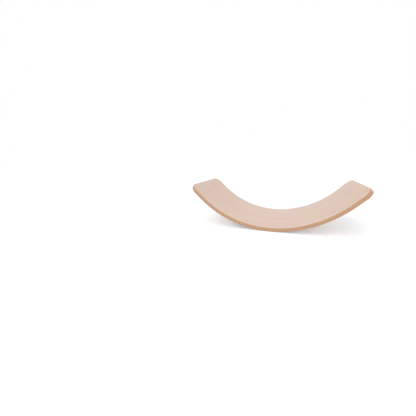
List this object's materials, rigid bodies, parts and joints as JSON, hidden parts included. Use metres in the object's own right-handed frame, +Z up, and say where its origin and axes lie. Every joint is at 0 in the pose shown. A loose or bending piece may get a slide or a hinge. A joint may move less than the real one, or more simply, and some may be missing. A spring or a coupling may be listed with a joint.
{
  "type": "balance board",
  "caption": "Curved rocker board of moulded plywood with rounded corners, which rocks on its convex side and carries a child who stands, sits or lies in its hollow.",
  "frame": {"origin": "on the floor, under the middle of the crown of the convex side", "axes": "+X along the board, +Y across it, +Z up out of the hollow"},
  "size_m": [0.7782, 0.3, 0.204],
  "materials": {
    "face_veneer": "satin lacquer",
    "long_grain_ply": "satin lacquer",
    "cross_grain_ply": "satin lacquer",
    "glue_line": "cured resin"
  },
  "bodies": {
    "root": {"seat_veneer": "face_veneer", "ply_02": "cross_grain_ply", "ply_03": "long_grain_ply", "ply_04": "cross_grain_ply", "ply_05": "long_grain_ply", "ply_06": "cross_grain_ply", "ply_07": "long_grain_ply", "ply_08": "cross_grain_ply", "ply_09": "long_grain_ply", "ply_10": "cross_grain_ply", "base_veneer": "face_veneer", "glue_line_01": "glue_line", "glue_line_02": "glue_line", "glue_line_03": "glue_line", "glue_line_04": "glue_line", "glue_line_05": "glue_line", "glue_line_06": "glue_line", "glue_line_07": "glue_line", "glue_line_08": "glue_line", "glue_line_09": "glue_line", "glue_line_10": "glue_line"}
  },
  "joints": []
}
